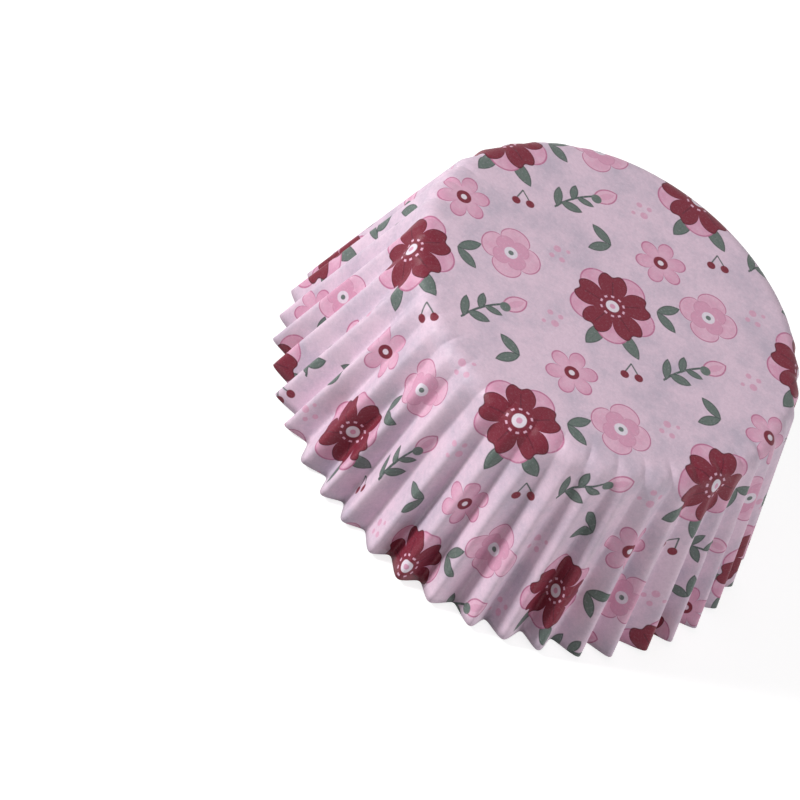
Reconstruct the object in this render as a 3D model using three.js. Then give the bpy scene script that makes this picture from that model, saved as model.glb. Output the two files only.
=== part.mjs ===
// A pleated paper baking cup, standing mouth down on its rim.
// It is one round sheet of greaseproof paper. The middle stays flat as the base, and the ring
// round it is folded into pleats, which take up the paper that the smaller wall doesn't need.
// Millimetres, +Z up. The origin is the middle of the mouth, in the plane that the rim stands on.

import * as THREE from 'three';

// Driving dimensions.
const BASE_RADIUS = 25.4; // where the line of the wall would meet the plane of the base
const RIM_RADIUS = 32.3; // over the pleats' ridges, at the mouth
const RIDGE_HEIGHT = 26; // from the ends of the ridges to the outer face of the base
const HEEL_BEND = 2.5; // radius of the soft bend between base and wall
const CREASE_RADIUS = 0.45; // of the pleats' ridges and valleys, along the sheet's outer face
const PAPER = 0.08; // thickness of the sheet
const PLEAT_COUNT = 42;

// Where each pleat is cut, in shares of its paper from one valley over the ridge to the next.
const PLEAT_PLACES = [0, 1 / 8, 3 / 8, 1 / 2, 5 / 8, 7 / 8];

// How finely the rest of the sheet is cut.
const HEEL_STEPS = 3;
const WALL_STEPS = 3;
const CURVE_STEPS = 96;
const DEPTH_PASSES = 4;

const PAPER_COLOUR = 0xd3b4cb;

const segmentCount = PLEAT_COUNT * PLEAT_PLACES.length;

// The line of the ridges, from the middle of the base over the heel to the rim.
const wallAngle = Math.atan2(RIDGE_HEIGHT, RIM_RADIUS - BASE_RADIUS);
const bendSetback = HEEL_BEND * Math.tan(wallAngle / 2);
const bendLength = HEEL_BEND * wallAngle;
const flatRadius = BASE_RADIUS - bendSetback;
const wallLength = Math.hypot(RIDGE_HEIGHT, RIM_RADIUS - BASE_RADIUS) - bendSetback;

// The point of that line at a distance along the sheet from its middle, and its outward normal.
function ridgeAt(distance) {
  const past = distance - flatRadius;
  const turned = THREE.MathUtils.clamp(past / HEEL_BEND, 0, wallAngle);
  const beyond = Math.max(past - bendLength, 0);
  const normal = new THREE.Vector2(Math.sin(turned), Math.cos(turned));
  const bendCentre = new THREE.Vector2(flatRadius, RIDGE_HEIGHT - HEEL_BEND);
  const point = bendCentre.addScaledVector(normal, HEEL_BEND);
  point.x += Math.min(past, 0) + beyond * Math.cos(wallAngle);
  point.y -= beyond * Math.sin(wallAngle);
  return { point, normal };
}

// One pleat with straight flanks and round creases, from one valley over the ridge to the next
// valley: its direction turns evenly along each crease and swings no further than its flanks.
// Along and across are in shares of the paper that the pleat holds.
function foldedPleat(paper, swing) {
  const along = [0];
  const across = [0];
  for (let step = 0; step < CURVE_STEPS; step += 1) {
    const share = (step + 0.5) / CURVE_STEPS;
    const toCrease = paper * Math.min(share, Math.abs(share - 0.5), 1 - share);
    const slope = Math.min(toCrease / CREASE_RADIUS, swing);
    along.push(along[step] + Math.cos(slope) / CURVE_STEPS);
    across.push(across[step] + Math.sign(0.5 - share) * Math.sin(slope) / CURVE_STEPS);
  }
  return { along, across };
}

// The swing that folds a pleat to a share of its flat width.
function swingFor(paper, share) {
  let low = 0;
  let high = Math.PI / 2;
  while (high - low > Math.PI * Number.EPSILON) {
    const middle = (low + high) / 2;
    if (foldedPleat(paper, middle).along[CURVE_STEPS] > share) {
      low = middle;
    } else {
      high = middle;
    }
  }
  return low;
}

// The pleats of one ring of the sheet. The ring keeps its length when it is folded onto a
// smaller circle, which fixes how deep its pleats are.
function pleatsAt(distance, ridgeRadius) {
  const paper = 2 * Math.PI * distance / PLEAT_COUNT;
  if (distance <= flatRadius) {
    return { depth: 0, pleat: foldedPleat(paper, 0) };
  }
  let depth = 0;
  let pleat;
  for (let pass = 0; pass < DEPTH_PASSES; pass += 1) {
    const middleRadius = ridgeRadius - depth / 2;
    pleat = foldedPleat(paper, swingFor(paper, Math.min(middleRadius / distance, 1)));
    depth = pleat.across[CURVE_STEPS / 2] * paper;
  }
  return { depth, pleat };
}

// The pleats, worked out once for each distance.
const known = new Map();
function ringAt(distance) {
  if (!known.has(distance)) {
    const { point, normal } = ridgeAt(distance);
    known.set(distance, { point, normal, ...pleatsAt(distance, point.x) });
  }
  return known.get(distance);
}

// A point on the sheet's outer face: distance along the sheet, and the segment round it.
function outerPoint(distance, segment) {
  const wrapped = (segment + segmentCount) % segmentCount;
  const pleatIndex = Math.floor(wrapped / PLEAT_PLACES.length);
  const step = PLEAT_PLACES[wrapped % PLEAT_PLACES.length] * CURVE_STEPS;
  const { point, normal, depth, pleat } = ringAt(distance);
  const turn = pleat.along[step] / pleat.along[CURVE_STEPS];
  const angle = (pleatIndex + turn) * 2 * Math.PI / PLEAT_COUNT;
  const ridge = pleat.across[CURVE_STEPS / 2];
  const sink = ridge > 0 ? depth * (1 - pleat.across[step] / ridge) : 0;
  const place = point.clone().addScaledVector(normal, -sink);
  return new THREE.Vector3(place.x * Math.cos(angle), place.x * Math.sin(angle), place.y);
}

// Distances along the sheet at which it is cut into rings, from the middle to the rim.
const rings = [0, flatRadius];
for (let step = 1; step <= HEEL_STEPS; step += 1) {
  rings.push(flatRadius + bendLength * step / HEEL_STEPS);
}
for (let step = 1; step <= WALL_STEPS; step += 1) {
  rings.push(flatRadius + bendLength + wallLength * step / WALL_STEPS);
}

// The sheet's outward normal at one of its points, from the points beside it.
function outerNormal(ring, segment) {
  if (ring < 2) {
    return new THREE.Vector3(0, 0, 1);
  }
  const inward = outerPoint(rings[ring - 1], segment);
  const outward = outerPoint(rings[Math.min(ring + 1, rings.length - 1)], segment);
  const before = outerPoint(rings[ring], segment - 1);
  const after = outerPoint(rings[ring], segment + 1);
  return outward.sub(inward).cross(after.sub(before)).normalize();
}

function bakingCupGeometry() {
  // The turned section: out along the inner face to the rim, and back along the outer face.
  const outward = rings.map((distance, ring) => ({ ring, inner: true }));
  const back = rings.map((distance, ring) => ({ ring, inner: false })).reverse();
  const section = [...outward, ...back];
  const outline = section.map(({ ring }) => ridgeAt(rings[ring]).point);
  const geometry = new THREE.LatheGeometry(outline, segmentCount);

  // Each point of the turned shape moves to its place on the pleated sheet.
  const position = geometry.getAttribute('position');
  for (let segment = 0; segment <= segmentCount; segment += 1) {
    section.forEach(({ ring, inner }, index) => {
      const point = outerPoint(rings[ring], segment);
      if (inner) {
        point.addScaledVector(outerNormal(ring, segment), -PAPER);
      }
      position.setXYZ(segment * section.length + index, point.x, point.y, point.z);
    });
  }

  // The inner face's quads are cut along the other diagonal, the one that the outer face's quads
  // have. On twisted quads, two unlike diagonals would let the faces pass through each other.
  const index = geometry.getIndex();
  const bands = section.length - 1;
  for (let segment = 0; segment < segmentCount; segment += 1) {
    for (let band = 0; band < rings.length - 1; band += 1) {
      const near = segment * section.length + band;
      const far = near + section.length;
      const quad = [near, far, far + 1, far + 1, near + 1, near];
      quad.forEach((corner, place) => index.setX((segment * bands + band) * quad.length + place, corner));
    }
  }
  geometry.computeVertexNormals();
  return geometry;
}

const paper = new THREE.MeshStandardMaterial({
  color: PAPER_COLOUR,
  roughness: 0.62,
  metalness: 0,
  side: THREE.DoubleSide,
});

const bakingCup = new THREE.Mesh(bakingCupGeometry(), paper);
bakingCup.name = 'baking_cup';

// The sheet's edge is a circle when flat, so the valleys, which flare out less than the ridges,
// end a little lower. The cup stands on them.
bakingCup.geometry.computeBoundingBox();
bakingCup.position.z = -bakingCup.geometry.boundingBox.min.z;

const part = new THREE.Group();
part.add(bakingCup);

export default part;
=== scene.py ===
"""A pleated paper baking cup with a floral print, standing mouth down, and its studio."""

import math

import bpy
import numpy as np
from mathutils import Matrix, Vector


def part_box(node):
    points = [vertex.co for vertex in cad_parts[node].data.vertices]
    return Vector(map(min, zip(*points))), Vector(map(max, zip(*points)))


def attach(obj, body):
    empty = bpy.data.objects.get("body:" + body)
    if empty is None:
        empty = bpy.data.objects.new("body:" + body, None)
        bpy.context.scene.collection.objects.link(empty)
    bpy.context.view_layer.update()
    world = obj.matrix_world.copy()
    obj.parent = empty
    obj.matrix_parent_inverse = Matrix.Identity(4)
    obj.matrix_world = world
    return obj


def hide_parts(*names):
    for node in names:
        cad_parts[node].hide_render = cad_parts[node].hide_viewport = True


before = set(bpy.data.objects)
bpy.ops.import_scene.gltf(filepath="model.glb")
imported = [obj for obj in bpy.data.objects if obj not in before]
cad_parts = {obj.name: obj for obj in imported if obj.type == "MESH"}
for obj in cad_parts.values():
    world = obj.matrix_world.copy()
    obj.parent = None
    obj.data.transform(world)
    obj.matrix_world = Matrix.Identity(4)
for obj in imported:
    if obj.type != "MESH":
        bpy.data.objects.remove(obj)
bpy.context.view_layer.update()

MM = 0.001

# The cup's sizes. The rim and the height come from the frame.
low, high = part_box("baking_cup")
RIM_RADIUS = (high[1] - low[1]) / 2
BASE_HEIGHT = high[2]
BASE_RADIUS = 25.4 * MM
RIDGE_HEIGHT = 26 * MM
HEEL_BEND = 2.5 * MM
PAPER = 0.08 * MM
PLEATS = 42

# How finely the sheet is cut. The points crowd together at the creases.
POINTS_PER_PLEAT = 24
CROWDING = 0.6
FLAT_RINGS = 4
HEEL_RINGS = 14
WALL_RINGS = 22

# How soft the creases are: near nothing for a knife edge, one and more for a wave. A ridge
# sharpens from the heel to the rim, most of all near the heel.
VALLEY_SOFTNESS = 0.24
RIM_RIDGE_SOFTNESS = 0.30
HEEL_RIDGE_SOFTNESS = 0.85
SHARPENING_POWER = 0.35

# On one side of the cup the folds are pushed together at the rim.
PUSHED_SIDE = math.pi
PUSHED_REACH = math.radians(44)
PUSHED_TURN = math.radians(4.4)

# Small differences from fold to fold: how far a crease strays, in pleats, the shares of its
# depth that a pleat may lack, and where its valley starts, in millimetres past the flat base.
STRAY_TURN = 0.09
MOST_RIDGE_DROP = 0.10
LEAST_VALLEY_DEPTH = 0.84
VALLEY_STARTS = (0.8, 1.6)
VALLEY_RUN = 1.0 * MM

# The press sat a little off the middle, so on one side the creases reach further up.
OFF_MIDDLE = 1.3 * MM
LIGHT_SIDE_POWER = 1.5

# Slow waves round the rim and the base, one for each count of lobes from two up: each wave's
# height in millimetres and its phase.
RIM_WAVES = ((0.225, 0.4), (0.2, 2.1), (0.15, 4.0), (0.125, 1.2))
BASE_WAVES = ((0.112, 1.0), (0.128, 3.3), (0.08, 5.2))


# Camera

# Where the photograph was taken from, about a point on the cup's axis, and how far the camera
# stands aside and above so that the cup lies in the frame as it does there.
VIEW_AZIMUTH = math.radians(-86.5)
VIEW_ELEVATION = math.radians(44.5)
VIEW_ROLL = math.radians(35.5)
VIEW_DISTANCE = 561.5 * MM
AIM_HEIGHT = 12.7 * MM
ASIDE = -19.3 * MM
ABOVE = -2.9 * MM
LENS = 210
SENSOR = 36


def camera_frame():
    """The camera's place, and its right, up and backward directions."""
    level = math.cos(VIEW_ELEVATION)
    level_x = level * math.cos(VIEW_AZIMUTH)
    level_y = level * math.sin(VIEW_AZIMUTH)
    back = Vector((level_x, level_y, math.sin(VIEW_ELEVATION)))
    flat_right = Vector((0, 0, 1)).cross(back).normalized()
    flat_up = back.cross(flat_right)
    right = flat_right * math.cos(VIEW_ROLL) + flat_up * math.sin(VIEW_ROLL)
    up = flat_up * math.cos(VIEW_ROLL) - flat_right * math.sin(VIEW_ROLL)
    place = Vector((0, 0, AIM_HEIGHT)) + back * VIEW_DISTANCE + right * ASIDE + up * ABOVE
    return place, right, up, back


def add_camera():
    place, right, up, back = camera_frame()
    data = bpy.data.cameras.new("camera")
    data.lens = LENS
    data.sensor_width = SENSOR
    camera = bpy.data.objects.new("camera", data)
    turn = Matrix((right, up, back)).transposed().to_4x4()
    camera.matrix_world = Matrix.Translation(place) @ turn
    bpy.context.collection.objects.link(camera)
    bpy.context.scene.camera = camera


# The pleated sheet

WALL_ANGLE = math.atan2(RIDGE_HEIGHT, RIM_RADIUS - BASE_RADIUS)
BEND_SETBACK = HEEL_BEND * math.tan(WALL_ANGLE / 2)
BEND_LENGTH = HEEL_BEND * WALL_ANGLE
FLAT_RADIUS = BASE_RADIUS - BEND_SETBACK
WALL_LENGTH = math.hypot(RIDGE_HEIGHT, RIM_RADIUS - BASE_RADIUS) - BEND_SETBACK
SHEET_RADIUS = FLAT_RADIUS + BEND_LENGTH + WALL_LENGTH


def ridge_line(distance):
    """The ridges' line at a distance along the sheet from its middle: radius, height and normal."""
    past = distance - FLAT_RADIUS
    turned = min(max(past / HEEL_BEND, 0), WALL_ANGLE)
    beyond = max(past - BEND_LENGTH, 0)
    normal = (math.sin(turned), math.cos(turned))
    radius = FLAT_RADIUS + HEEL_BEND * normal[0] + min(past, 0) + beyond * math.cos(WALL_ANGLE)
    height = BASE_HEIGHT - HEEL_BEND * (1 - normal[1]) - beyond * math.sin(WALL_ANGLE)
    return radius, height, normal


# How finely a pleat's course is worked out, and the turns, in radians, that are tried for it.
CURVE_STEPS = 240
CURVE_PLACES = np.linspace(0, 1, CURVE_STEPS + 1)
SWINGS = np.linspace(0, 1.5, 151)
DEPTH_PASSES = 5
NO_DEPTH = 1e-6


def pleat_wave(ridge_softness):
    """How the paper of one pleat turns from valley to valley, in shares of its largest turn."""
    phase = np.pi * (CURVE_PLACES[1:] + CURVE_PLACES[:-1])
    nearness_to_ridge = (1 - np.cos(phase)) / 2
    softness = VALLEY_SOFTNESS + (ridge_softness - VALLEY_SOFTNESS) * nearness_to_ridge
    return np.sin(phase) * np.sqrt((1 + softness ** 2) / (np.sin(phase) ** 2 + softness ** 2))


def pleats_at(distance, ridge_radius, ridge_softness):
    """The depth of one ring's pleats, and a pleat's course in shares of the pleat's paper."""

    # The ring keeps its length when it is folded onto a smaller circle.
    paper_per_pleat = 2 * math.pi * distance / PLEATS
    wave = pleat_wave(ridge_softness)
    shares = np.cos(np.outer(SWINGS, wave)).mean(axis=1)
    depth = 0
    for _ in range(DEPTH_PASSES):
        share = min((ridge_radius - depth / 2) / distance, 1)
        direction = wave * np.interp(share, shares[::-1], SWINGS[::-1])
        along = np.concatenate([[0], np.cumsum(np.cos(direction))]) / CURVE_STEPS
        across = np.concatenate([[0], np.cumsum(np.sin(direction))]) / CURVE_STEPS
        depth = across.max() * paper_per_pleat
    return depth, along, across


def pleat_unevenness():
    """Small differences from fold to fold, as pressing many sheets at once leaves them."""
    rng = np.random.default_rng(11)
    uneven = {
        "ridge_turn": rng.uniform(-STRAY_TURN, STRAY_TURN, PLEATS),
        "valley_turn": rng.uniform(-STRAY_TURN, STRAY_TURN, PLEATS),
        "ridge_drop": rng.uniform(0, MOST_RIDGE_DROP, PLEATS),
        "valley_depth": rng.uniform(LEAST_VALLEY_DEPTH, 1.0, PLEATS),
        "valley_start": rng.uniform(*VALLEY_STARTS, PLEATS) * MM,
        "dent": rng.uniform(LEAST_DENT, 1.0, PLEATS),
    }
    side = np.sin(2 * np.pi * np.arange(PLEATS) / PLEATS)
    lightly_pressed = ((1 + side) / 2) ** LIGHT_SIDE_POWER
    uneven["valley_start"] += (lightly_pressed - 0.5) * OFF_MIDDLE
    uneven["dent"] *= 1 - lightly_pressed
    return uneven


# Each valley starts as a small pointed dent in the base's edge: its depth, its half width in
# pleats, where along the sheet it starts, is deepest and ends, and how faint it may be.
DENT_DEPTH = 0.36 * MM
DENT_HALF_WIDTH = 0.2
DENT_COURSE = np.array((-1.5, 0.8, 2.8)) * MM + FLAT_RADIUS
LEAST_DENT = 0.6


def dents(distance, place):
    """How deep the dents are at a distance along the sheet, round one ring of pleats."""
    from_valley = np.abs((place + 0.5) % 1 - 0.5)
    profile = np.clip(1 - from_valley / DENT_HALF_WIDTH, 0, 1)
    return DENT_DEPTH * profile * np.interp(distance, DENT_COURSE, (0, 1, 0))


def pushed(angle):
    """How far the folds at an angle are pushed round the cup at its rim."""
    away = (angle - PUSHED_SIDE + np.pi) % (2 * np.pi) - np.pi
    return PUSHED_TURN * (1 + np.cos(np.pi * np.clip(away / PUSHED_REACH, -1, 1))) / 2


def waver(angle, waves):
    """The sum of slow waves round the cup, from two lobes up."""
    total = np.zeros_like(angle)
    for lobes, (amount, phase) in enumerate(waves, start=2):
        total += amount * MM * np.cos(lobes * angle + phase)
    return total


# The rings lie closer together from here on, a little before the dents start.
FINE_RINGS_START = FLAT_RADIUS - 1.6 * MM


def sheet_rings():
    """Distances from the sheet's middle at which it is cut into rings."""
    flat = np.linspace(0, FINE_RINGS_START, FLAT_RINGS + 1)
    heel = np.linspace(FINE_RINGS_START, FLAT_RADIUS + BEND_LENGTH, HEEL_RINGS + 1)
    wall = np.linspace(FLAT_RADIUS + BEND_LENGTH, SHEET_RADIUS, WALL_RINGS + 1)
    return np.concatenate([flat[1:], heel[1:], wall[1:]])


def ring_points(distance, pleat, place, uneven):
    """The outer face's points on one ring, at places in pleats from valley to valley."""
    nearest_valley = (pleat + (place > 0.5)) % PLEATS
    radius, height, normal = ridge_line(distance)
    grown = np.clip((distance - FLAT_RADIUS) / (SHEET_RADIUS - FLAT_RADIUS), 0, 1)
    sharpened = (RIM_RIDGE_SOFTNESS - HEEL_RIDGE_SOFTNESS) * grown ** SHARPENING_POWER
    folded_from = max(distance, FLAT_RADIUS)
    folded_to = max(radius, FLAT_RADIUS)
    depth, along, across = pleats_at(folded_from, folded_to, HEEL_RIDGE_SOFTNESS + sharpened)
    rise = np.ones_like(place)
    if across.max() > NO_DEPTH:
        rise = np.interp(place, CURVE_PLACES, across) / across.max()

    # Round the cup, each crease strays a little, and on one side they are pushed together.
    spread = math.sqrt(grown)
    turn = np.interp(place, CURVE_PLACES, along) / along[-1]
    turn = turn + spread * rise * uneven["ridge_turn"][pleat]
    turn = turn + spread * (1 - rise) * uneven["valley_turn"][nearest_valley]
    angle = 2 * np.pi * (pleat + turn) / PLEATS
    angle = angle + grown * pushed(angle)

    # Below the ridges' line lie the valleys, the ridges that are too low and the dents.
    past_start = distance - FLAT_RADIUS - uneven["valley_start"][nearest_valley]
    started = np.clip(past_start / VALLEY_RUN, 0, 1)
    sink = depth * (1 - rise) * uneven["valley_depth"][nearest_valley] * started
    sink = sink + depth * rise * uneven["ridge_drop"][pleat] * grown
    sink = sink + dents(distance, place) * uneven["dent"][nearest_valley]

    # The rim wavers, and the base bulges and dips a little, most of all at its edge.
    out = min(distance / FLAT_RADIUS, 1)
    ring_radius = radius - sink * normal[0] + grown * waver(angle, RIM_WAVES)
    ring_height = height - sink * normal[1] + out * out * (1 - grown) * waver(angle, BASE_WAVES)
    return np.stack([ring_radius * np.cos(angle), ring_radius * np.sin(angle), ring_height], axis=1)


def outer_face(rings):
    """The outer face's points, ring by ring, and the flat sheet's own coordinates for them."""
    uneven = pleat_unevenness()
    even = np.arange(POINTS_PER_PLEAT) / POINTS_PER_PLEAT
    crowded = even - CROWDING * np.sin(4 * np.pi * even) / (4 * np.pi)
    place = np.tile(crowded, PLEATS)
    pleat = np.repeat(np.arange(PLEATS), POINTS_PER_PLEAT)
    points = np.stack([ring_points(distance, pleat, place, uneven) for distance in rings])
    flat_angle = 2 * np.pi * (pleat + place) / PLEATS
    flat_circle = np.stack([np.cos(flat_angle), np.sin(flat_angle)], axis=1)
    flat = rings[:, None, None] * flat_circle
    return points, flat


def face_normals(points, middle):
    """The outward normal at each point of the sheet, from the points beside it."""
    inward = np.concatenate([np.broadcast_to(middle, points[:1].shape), points[:-1]])
    outward = np.concatenate([points[1:], points[-1:]])
    round_about = np.roll(points, -1, axis=1) - np.roll(points, 1, axis=1)
    normal = np.cross(outward - inward, round_about)
    return normal / np.linalg.norm(normal, axis=2, keepdims=True)


# Where the outer and the inner face lie on the cup's map, and how large. The sheet's cut edge
# is a narrow band round the outer face.
MAP_NAME = "OFBake"
MAP_RADIUS = 0.285
OUTER_CENTRE = (0.295, 0.295)
INNER_CENTRE = (0.705, 0.705)
EDGE_BAND = 1.012

# The cup's material slots.
OUTSIDE, INSIDE, EDGE = range(3)


def cup_faces(flat_map):
    """The cup's faces, their corners' places on its map, and their material slots."""
    ring_count, count = flat_map.shape[:2]
    outer_start = 0
    inner_start = 1 + ring_count * count
    faces = []
    corners = []
    slots = []

    def add(face, places, slot):
        faces.append(face)
        corners.extend(places)
        slots.append(slot)

    def at(ring, step, start):
        return start + 1 + ring * count + step

    # Each face of the sheet is a fan round its middle, and then bands of quads.
    sides = ((outer_start, OUTER_CENTRE, OUTSIDE), (inner_start, INNER_CENTRE, INSIDE))
    for start, centre, slot in sides:
        spots = flat_map + centre
        for step in range(count):
            after = (step + 1) % count
            bands = [[
                (start, centre),
                (at(0, step, start), spots[0, step]),
                (at(0, after, start), spots[0, after]),
            ]]
            for ring in range(ring_count - 1):
                bands.append([
                    (at(ring, step, start), spots[ring, step]),
                    (at(ring + 1, step, start), spots[ring + 1, step]),
                    (at(ring + 1, after, start), spots[ring + 1, after]),
                    (at(ring, after, start), spots[ring, after]),
                ])
            for band in bands:
                if slot == INSIDE:
                    band = band[::-1]
                add([vertex for vertex, _ in band], [tuple(spot) for _, spot in band], slot)

    # The cut edge of the sheet, between the two faces.
    rim = ring_count - 1
    near = flat_map[rim]
    far = flat_map[rim] * EDGE_BAND
    for step in range(count):
        after = (step + 1) % count
        face = [
            at(rim, step, outer_start),
            at(rim, step, inner_start),
            at(rim, after, inner_start),
            at(rim, after, outer_start),
        ]
        places = [near[step], far[step], far[after], near[after]]
        add(face, [tuple(place + OUTER_CENTRE) for place in places], EDGE)
    return faces, corners, slots


def build_cup():
    """The whole cup as one closed mesh."""
    outer, flat = outer_face(sheet_rings())
    top = np.array([0, 0, BASE_HEIGHT])
    inner = outer - PAPER * face_normals(outer, top)

    # A slight stretch along the axis brings the lowest point to the floor.
    drop = min(outer[:, :, 2].min(), inner[:, :, 2].min())
    stretch = BASE_HEIGHT / (BASE_HEIGHT - drop)
    for face in (outer, inner):
        face[:, :, 2] = BASE_HEIGHT - (BASE_HEIGHT - face[:, :, 2]) * stretch

    under_top = top - [0, 0, PAPER]
    vertices = np.concatenate([[top], outer.reshape(-1, 3), [under_top], inner.reshape(-1, 3)])
    faces, corners, slots = cup_faces(flat * MAP_RADIUS / SHEET_RADIUS)
    mesh = bpy.data.meshes.new("paper_cup")
    mesh.from_pydata([tuple(vertex) for vertex in vertices], [], faces)
    mesh.polygons.foreach_set("material_index", slots)
    mesh.polygons.foreach_set("use_smooth", [slot != EDGE for slot in slots])
    layer = mesh.uv_layers.new(name=MAP_NAME)
    layer.data.foreach_set("uv", np.array(corners, dtype=np.float32).ravel())
    mesh.update()
    cup = bpy.data.objects.new("paper_cup", mesh)
    bpy.context.collection.objects.link(cup)
    return cup


# Material nodes

class Value:
    """A number that a material works out at each point, so that formulas read as formulas."""

    tree = None

    def __init__(self, socket):
        self.socket = socket

    @classmethod
    def math(cls, operation, *inputs, clamp=False):
        node = cls.tree.nodes.new("ShaderNodeMath")
        node.operation = operation
        node.use_clamp = clamp
        for socket, value in zip(node.inputs, inputs):
            if isinstance(value, Value):
                cls.tree.links.new(value.socket, socket)
            else:
                socket.default_value = value
        return cls(node.outputs[0])

    def __add__(self, other):
        return Value.math("ADD", self, other)

    def __radd__(self, other):
        return Value.math("ADD", other, self)

    def __sub__(self, other):
        return Value.math("SUBTRACT", self, other)

    def __rsub__(self, other):
        return Value.math("SUBTRACT", other, self)

    def __mul__(self, other):
        return Value.math("MULTIPLY", self, other)

    def __truediv__(self, other):
        return Value.math("DIVIDE", self, other)

    def clamped(self):
        return Value.math("ADD", self, 0.0, clamp=True)


def link(output, socket):
    Value.tree.links.new(output, socket)


def largest(a, b):
    return Value.math("MAXIMUM", a, b)


def length(x, y):
    return Value.math("SQRT", x * x + y * y)


# How softly a printed edge fades, in millimetres.
PRINT_EDGE = 0.11

# A petal's tip is a plain wave at a power of one, and rounder below it. The notch in the tip
# is narrower the higher its power is.
PETAL_POWER = 0.55
NOTCH_POWER = 14.0


def inside(distance, edge=PRINT_EDGE):
    """One inside a shape and nothing outside it, from a distance that is negative inside."""
    return (0.5 - distance / edge).clamped()


def turned(x, y, angle):
    """The point in the frame of something that is turned by an angle in degrees."""
    cosine = math.cos(math.radians(angle))
    sine = math.sin(math.radians(angle))
    return x * cosine + y * sine, y * cosine - x * sine


def blossom(x, y, petals, inner, outer, notch=0.0, turn=0.0):
    """Distance to a round blossom's outline, with petals of even size and notched tips."""
    bearing = Value.math("ARCTAN2", y, x) + math.radians(turn)
    wave = Value.math("ABSOLUTE", Value.math("COSINE", bearing * (petals / 2)))
    lobe = Value.math("POWER", wave, PETAL_POWER)
    reach = inner + lobe * (outer - inner)
    if notch:
        tip = Value.math("POWER", wave, NOTCH_POWER)
        reach = reach - tip * notch
    return length(x, y) - reach


def leaf(x, y, half_length, half_width):
    """Distance to an almond-shaped leaf that lies along x: where two circles meet."""
    radius = (half_length ** 2 + half_width ** 2) / (2 * half_width)
    side = Value.math("ABSOLUTE", y)
    return length(x, side + (radius - half_width)) - radius


def dot(x, y, radius):
    return length(x, y) - radius


def bar(x, y, half_length, half_width):
    """Distance to a stem along x, with round ends."""
    beyond = largest(Value.math("ABSOLUTE", x) - half_length, 0.0)
    return length(beyond, y) - half_width


class Print:
    """
    The printed layers at one point, each painted over the ones before it. Ink says how heavy
    the ink is, and wash is the uneven thinning of the watery colours.
    """

    def __init__(self, paper):
        self.colour = paper
        self.ink = None
        self.wash = None

    def paint(self, mask, colour, heavy=0.0):
        mix = Value.tree.nodes.new("ShaderNodeMix")
        mix.data_type = "RGBA"
        if isinstance(mask, Value):
            link(mask.socket, mix.inputs[0])
        else:
            mix.inputs[0].default_value = mask
        link(self.colour, mix.inputs[6])
        if isinstance(colour, bpy.types.NodeSocket):
            link(colour, mix.inputs[7])
        else:
            mix.inputs[7].default_value = colour
        self.colour = mix.outputs[2]
        if heavy:
            self.ink = mask * heavy if self.ink is None else largest(self.ink, mask * heavy)


def srgb(red, green, blue):
    """A colour as a screen shows it, from 0 to 255, as the linear colour that a shader takes."""
    def linear(level):
        level = level / 255
        return level / 12.92 if level <= 0.04045 else ((level + 0.055) / 1.055) ** 2.4
    return (linear(red), linear(green), linear(blue), 1.0)


PAPER_TINT = srgb(227, 201, 218)
PAPER_CLOUD = srgb(190, 177, 194)
BURGUNDY = srgb(118, 34, 50)
BURGUNDY_DEEP = srgb(84, 17, 35)
PINK = srgb(217, 158, 185)
PINK_SOFT = srgb(228, 182, 204)
PINK_EDGE = srgb(188, 112, 146)
LEAF = srgb(96, 112, 105)
LEAF_DEEP = srgb(70, 86, 80)
WHITE = srgb(230, 220, 231)

# The paper's grain, with pale specks in it painted as glints of light, the speckle of dark ink,
# the plain back and the cut edge.
FIBRE = srgb(164, 142, 162)
# The colour of the painted highlight specks: glints of light painted into the paper's grain.
PAINTED_GLINT = srgb(244, 230, 242)
SPECKLE = srgb(176, 96, 118)
BACK_TINT = srgb(205, 186, 202)
EDGE_TINT = srgb(226, 210, 222)
EDGE_SHADE = srgb(196, 172, 190)

# How much of each shows, and how far heavy ink and the plain back cover what lies under them.
CLOUD_SHARE = 0.8
FIBRE_SHARE = 0.17
PAINTED_GLINT_SHARE = 0.16
SPECKLE_SHARE = 0.15
EDGE_SHADE_SHARE = 0.5
INK_COVER = 0.75
BACK_COVER = 0.8

# The print repeats in a cell of this size, in millimetres, and each next column is half a cell up.
CELL_WIDE = 25.0
CELL_TALL = 27.0

# The motifs and their cell are printed smaller than they are drawn here.
PRINT_SCALE = 0.92


def wrapped(value, period):
    """A coordinate folded into the cell that is centred on zero."""
    return Value.math("WRAP", value, period / 2, -period / 2)


def spot(x, y, centre, angle):
    """Local coordinates of a motif that is repeated in a half-drop, with its own turn."""
    across = x - centre[0]
    column = Value.math("FLOOR", across / CELL_WIDE + 0.5)
    near_x = across - column * CELL_WIDE
    near_y = wrapped(y - centre[1] + column * (CELL_TALL / 2), CELL_TALL)
    return turned(near_x, near_y, angle)


# The motifs. Their shapes are drawn in millimetres about each motif's own middle.

def paint_leaf(layers, x, y, half_length, half_width):
    """A green leaf with a paler middle vein."""
    shape = leaf(x, y, half_length, half_width)
    layers.paint(inside(shape), LEAF_DEEP, heavy=0.5)
    layers.paint(inside(shape + 0.16), LEAF)
    vein = bar(x, y, half_length * 0.62, 0.05)
    layers.paint(inside(vein) * 0.35, LEAF_DEEP)


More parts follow.
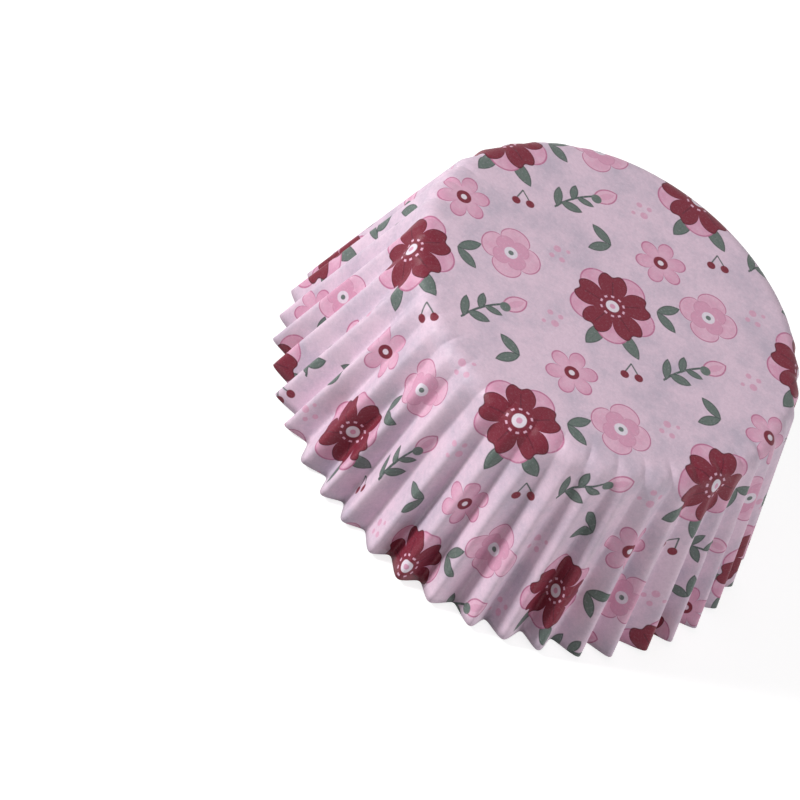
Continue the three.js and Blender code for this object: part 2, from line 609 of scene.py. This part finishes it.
def paint_large_blossom(layers, x, y):
    """Five notched burgundy petals over five pink ones, with a pale centre ringed with dots."""
    for side in (1, -1):
        leaf_x, leaf_y = turned(x + 5.6, y - side * 2.4, 180 - side * 34)
        paint_leaf(layers, leaf_x, leaf_y, 2.5, 1.05)
    back = blossom(x, y, 5, 3.4, 6.3, turn=36)
    layers.paint(inside(back), PINK_EDGE)
    layers.paint(inside(back + 0.22), PINK)
    layers.paint(inside(back + 0.3) * layers.wash * 0.7, PINK_SOFT)
    front = blossom(x, y, 5, 2.6, 5.9, notch=0.9)
    layers.paint(inside(front), BURGUNDY_DEEP, heavy=1.0)
    layers.paint(inside(front + 0.2), BURGUNDY, heavy=1.0)
    bearing = Value.math("ARCTAN2", y, x)
    away = length(x, y)
    spoke = Value.math("ABSOLUTE", Value.math("SINE", bearing * 2.5)) * away * 0.4
    vein = inside(spoke - 0.09) * inside(away - 4.2) * inside(1.6 - away)
    layers.paint(vein * 0.8, BURGUNDY_DEEP)
    layers.paint(inside(dot(x, y, 0.95)), WHITE)
    ring_dot = Value.math("COSINE", bearing * 10.0)
    ring = inside(Value.math("ABSOLUTE", away - 1.65) - 0.15) * (ring_dot * 3.0).clamped()
    layers.paint(ring, PINK_SOFT)
    layers.paint(inside(dot(x, y, 0.4)), PINK)


def paint_small_blossom(layers, x, y):
    """Six round pink petals with a burgundy centre."""
    petals = blossom(x, y, 6, 1.7, 3.75)
    layers.paint(inside(petals), PINK_EDGE)
    layers.paint(inside(petals + 0.2), PINK)
    layers.paint(inside(petals + 0.3) * layers.wash * 0.6, PINK_SOFT)
    tips = blossom(x, y, 6, 1.0, 2.5)
    layers.paint(inside(tips, 1.2) * 0.55, PINK_SOFT)
    layers.paint(inside(dot(x, y, 1.05)), BURGUNDY, heavy=1.0)
    layers.paint(inside(dot(x, y, 0.42)), WHITE)


def paint_bud_sprig(layers, x, y):
    """A pink bud on a stem with two pairs of leaves."""
    bent = y + x * x * 0.035
    layers.paint(inside(bar(x, bent, 4.0, 0.16)), LEAF_DEEP)
    for place, reach, side in ((-2.6, 1.7, 1), (-1.6, 1.7, -1), (0.2, 1.45, 1), (1.0, 1.3, -1)):
        leaf_x, leaf_y = turned(x - place, bent - side * reach * 0.62, side * 48)
        paint_leaf(layers, leaf_x, leaf_y, reach, reach * 0.42)
    bud_x = x - 4.6
    bud_y = y + 0.75
    bud = leaf(bud_x, bud_y, 2.1, 1.25)
    layers.paint(inside(bud), PINK_EDGE)
    layers.paint(inside(bud + 0.2), PINK_SOFT)
    fold = leaf(bud_x - 0.1, bud_y, 1.5, 0.5)
    layers.paint(inside(fold) * 0.7, PINK)
    cap = dot(bud_x + 1.55, bud_y, 0.75)
    layers.paint(inside(cap), LEAF, heavy=0.5)


def paint_round_blossom(layers, x, y):
    """A pale four-petalled blossom with a darker outline and a white centre."""
    petals = blossom(x, y, 4, 2.7, 4.3)
    layers.paint(inside(petals), PINK_EDGE)
    layers.paint(inside(petals + 0.17), PINK_SOFT)
    layers.paint(inside(petals + 0.3) * layers.wash * 0.55, PINK)
    inner = blossom(x, y, 4, 1.7, 2.8, turn=45)
    layers.paint(inside(inner) * 0.5, PINK_EDGE)
    layers.paint(inside(inner + 0.15) * 0.9, PINK)
    layers.paint(inside(dot(x, y, 0.95)), WHITE)
    layers.paint(inside(dot(x, y, 0.38)), LEAF)


def paint_leaf_pair(layers, x, y):
    for side in (1, -1):
        leaf_x, leaf_y = turned(x, y - side * 1.1, side * 36)
        paint_leaf(layers, leaf_x, leaf_y, 1.9, 0.78)


def paint_berries(layers, x, y):
    """Two burgundy berries on a forked stem."""
    for side in (1, -1):
        stem_x, stem_y = turned(x + 0.2, y - side * 0.5, side * 30)
        layers.paint(inside(bar(stem_x, stem_y, 0.95, 0.1)), LEAF_DEEP)
        layers.paint(inside(dot(x - 1.0, y - side * 1.0, 0.62)), BURGUNDY, heavy=1.0)


def paint_dots(layers, x, y):
    """A few pink dots of different sizes."""
    dots = ((0, 0, 0.55), (1.5, 0.5, 0.38), (0.6, 1.7, 0.42), (-1.2, 1.0, 0.3))
    for place_x, place_y, radius in dots:
        layers.paint(inside(dot(x - place_x, y - place_y, radius)) * 0.8, PINK)


# Each motif's place in the cell, in millimetres, and its turn in degrees.
MOTIFS = (
    (paint_bud_sprig, (12.4, -1.2), 62),
    (paint_large_blossom, (0.0, 0.0), 118),
    (paint_round_blossom, (10.6, 9.6), 15),
    (paint_small_blossom, (1.3, 12.4), 40),
    (paint_leaf_pair, (-6.6, 8.7), 200),
    (paint_berries, (7.0, -7.4), 300),
    (paint_leaf_pair, (6.3, 4.9), 20),
    (paint_dots, (-4.3, -9.2), 70),
    (paint_dots, (-10.2, 2.2), 250),
)


def noise(coordinates, scale, detail=2.0, roughness=0.5):
    """A cloudy pattern, with about as many clouds to the millimetre as its scale says."""
    node = Value.tree.nodes.new("ShaderNodeTexNoise")
    link(coordinates, node.inputs["Vector"])
    node.inputs["Scale"].default_value = scale
    node.inputs["Detail"].default_value = detail
    node.inputs["Roughness"].default_value = roughness
    return Value(node.outputs["Fac"])


def contrasted(value, low_end, high_end):
    """A value stretched so that low_end becomes nothing and high_end becomes one."""
    return ((value - low_end) / (high_end - low_end)).clamped()


def sheet_coordinates(centre):
    """The flat sheet's own coordinates in millimetres, read back from the cup's map."""
    tree = Value.tree
    uv = tree.nodes.new("ShaderNodeUVMap")
    uv.uv_map = MAP_NAME
    split = tree.nodes.new("ShaderNodeSeparateXYZ")
    tree.links.new(uv.outputs["UV"], split.inputs[0])
    to_mm = SHEET_RADIUS / MM / MAP_RADIUS
    x = (Value(split.outputs["X"]) - centre[0]) * to_mm
    y = (Value(split.outputs["Y"]) - centre[1]) * to_mm
    join = tree.nodes.new("ShaderNodeCombineXYZ")
    tree.links.new(x.socket, join.inputs["X"])
    tree.links.new(y.socket, join.inputs["Y"])
    return x, y, join.outputs[0]


def mixed(mask, under, over):
    """A colour with another one laid over it as far as the mask says."""
    layers = Print(under)
    layers.paint(mask, over)
    return layers.colour


def solid(colour):
    """A plain colour as a node's output, for others to be laid over it."""
    node = Value.tree.nodes.new("ShaderNodeRGB")
    node.outputs[0].default_value = colour
    return node.outputs[0]


def new_material(name):
    material = bpy.data.materials.new(name)
    material.use_nodes = True
    Value.tree = material.node_tree
    shader = material.node_tree.nodes["Principled BSDF"]
    return material, shader


# How strongly the paper's grain and cockling show in its gloss and shade, and how deep they are.
BUMP_STRENGTH = 0.35
BUMP_DEPTH = 0.12 * MM


def paper_bump(shader, coordinates):
    """The fine grain and the soft cockling of thin paper."""
    grain = noise(coordinates, 3.2, detail=4.0, roughness=0.6)
    cockle = noise(coordinates, 0.16, detail=2.0)
    bump = Value.tree.nodes.new("ShaderNodeBump")
    bump.inputs["Strength"].default_value = BUMP_STRENGTH
    bump.inputs["Distance"].default_value = BUMP_DEPTH
    link((grain * 0.35 + cockle * 2.0).socket, bump.inputs["Height"])
    link(bump.outputs[0], shader.inputs["Normal"])


def printed_colour(x, y, coordinates):
    """The floral print on clouded paper, and where its heavy ink lies."""
    cloud = contrasted(noise(coordinates, 0.13, detail=8.0, roughness=0.72), 0.44, 0.64)
    layers = Print(mixed(cloud * CLOUD_SHARE, solid(PAPER_TINT), PAPER_CLOUD))
    layers.wash = contrasted(noise(coordinates, 0.5, detail=3.0), 0.42, 0.62)
    for paint, centre, angle in MOTIFS:
        local_x, local_y = spot(x / PRINT_SCALE, y / PRINT_SCALE, centre, angle)
        paint(layers, local_x, local_y)
    return layers


def outside_material():
    material, shader = new_material("printed_paper")
    x, y, coordinates = sheet_coordinates(OUTER_CENTRE)
    layers = printed_colour(x, y, coordinates)

    # Ink sits unevenly on the paper's fibres, which shows as a fine speckle in dark colours.
    speckle = contrasted(noise(coordinates, 7.0, detail=2.0, roughness=0.6), 0.46, 0.70)
    speckled = mixed(layers.ink * speckle * SPECKLE_SHARE, layers.colour, SPECKLE)

    # The paper's own grain, and the glints of light painted into it, show less under heavy ink.
    bare = 1 - layers.ink * INK_COVER
    fibres = contrasted(noise(coordinates, 1.9, detail=4.0, roughness=0.8), 0.42, 0.64)
    grained = mixed(fibres * bare * FIBRE_SHARE, speckled, FIBRE)
    # Painted highlight: pale specks in the paper's grain that stand for glints of light off it.
    painted_glints = contrasted(noise(coordinates, 3.2, detail=2.0), 0.56, 0.70)
    link(mixed(painted_glints * bare * PAINTED_GLINT_SHARE, grained, PAINTED_GLINT), shader.inputs["Base Color"])
    shader.inputs["Roughness"].default_value = 0.46
    shader.inputs["Specular IOR Level"].default_value = 0.22
    paper_bump(shader, coordinates)
    return material


def inside_material():
    """The plain back of the paper, with the print showing through faintly."""
    material, shader = new_material("paper_back")
    x, y, coordinates = sheet_coordinates(INNER_CENTRE)
    layers = printed_colour(x, y, coordinates)
    link(mixed(BACK_COVER, layers.colour, BACK_TINT), shader.inputs["Base Color"])
    shader.inputs["Roughness"].default_value = 0.6
    shader.inputs["Specular IOR Level"].default_value = 0.3
    paper_bump(shader, coordinates)
    return material


def edge_material():
    material, shader = new_material("cut_edge")
    _, _, coordinates = sheet_coordinates(OUTER_CENTRE)
    fibres = noise(coordinates, 4.0, detail=3.0)
    edge = mixed(fibres * EDGE_SHADE_SHARE, solid(EDGE_TINT), EDGE_SHADE)
    link(edge, shader.inputs["Base Color"])
    shader.inputs["Roughness"].default_value = 0.8
    return material


# The studio

# The floor is grey to the lamps, so that it throws little light back at the cup, and it glows
# to white where it is seen. The sky lights the cup evenly.
FLOOR_SIZE = 3.0
FLOOR_GREY = 0.55
FLOOR_GLOW = 0.76
SKY = 0.24


def seen_directly():
    """One where the camera or a reflection sees a surface, nothing where it only lights others."""
    path = Value.tree.nodes.new("ShaderNodeLightPath")
    seen = Value(path.outputs["Is Camera Ray"])
    for ray in ("Is Glossy Ray", "Is Transmission Ray"):
        seen = largest(seen, Value(path.outputs[ray]))
    return seen


def add_floor():
    mesh = bpy.data.meshes.new("floor")
    half = FLOOR_SIZE / 2
    corners = [(-half, -half, 0), (half, -half, 0), (half, half, 0), (-half, half, 0)]
    mesh.from_pydata(corners, [], [(0, 1, 2, 3)])
    floor = bpy.data.objects.new("floor", mesh)
    bpy.context.collection.objects.link(floor)
    material, shader = new_material("floor")
    shader.inputs["Base Color"].default_value = (FLOOR_GREY, FLOOR_GREY, FLOOR_GREY, 1)
    shader.inputs["Roughness"].default_value = 0.9
    shader.inputs["Specular IOR Level"].default_value = 0.1
    shader.inputs["Emission Color"].default_value = (1, 1, 1, 1)
    link((seen_directly() * FLOOR_GLOW).socket, shader.inputs["Emission Strength"])
    mesh.materials.append(material)


def add_lamp(name, right, up, towards, size, power):
    """A soft square lamp, placed in metres as the camera sees it from the cup's middle."""
    _, camera_right, camera_up, back = camera_frame()
    middle = Vector((0, 0, AIM_HEIGHT))
    place = middle + camera_right * right + camera_up * up + back * towards
    data = bpy.data.lights.new(name, "AREA")
    data.shape = "SQUARE"
    data.size = size
    data.energy = power
    lamp = bpy.data.objects.new(name, data)
    lamp.location = place
    lamp.rotation_mode = "QUATERNION"
    lamp.rotation_quaternion = (place - middle).to_track_quat("Z", "Y")
    bpy.context.collection.objects.link(lamp)


def add_world():
    """An even pale sky, which looks white where the camera sees it."""
    world = bpy.data.worlds.new("world")
    world.use_nodes = True
    Value.tree = world.node_tree
    background = world.node_tree.nodes["Background"]
    background.inputs["Color"].default_value = (1, 1, 1, 1)
    link((seen_directly() * (1 - SKY) + SKY).socket, background.inputs["Strength"])
    bpy.context.scene.world = world


add_camera()
add_floor()
add_world()
add_lamp("key", right=-0.367, up=0.394, towards=0.397, size=0.14, power=3.9)
add_lamp("fill", right=0.64, up=-0.42, towards=0.30, size=0.5, power=2.6)

paper_cup = build_cup()
for material in (outside_material(), inside_material(), edge_material()):
    paper_cup.data.materials.append(material)
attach(paper_cup, "root")
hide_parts("baking_cup")

bpy.context.scene.view_settings.view_transform = "Standard"
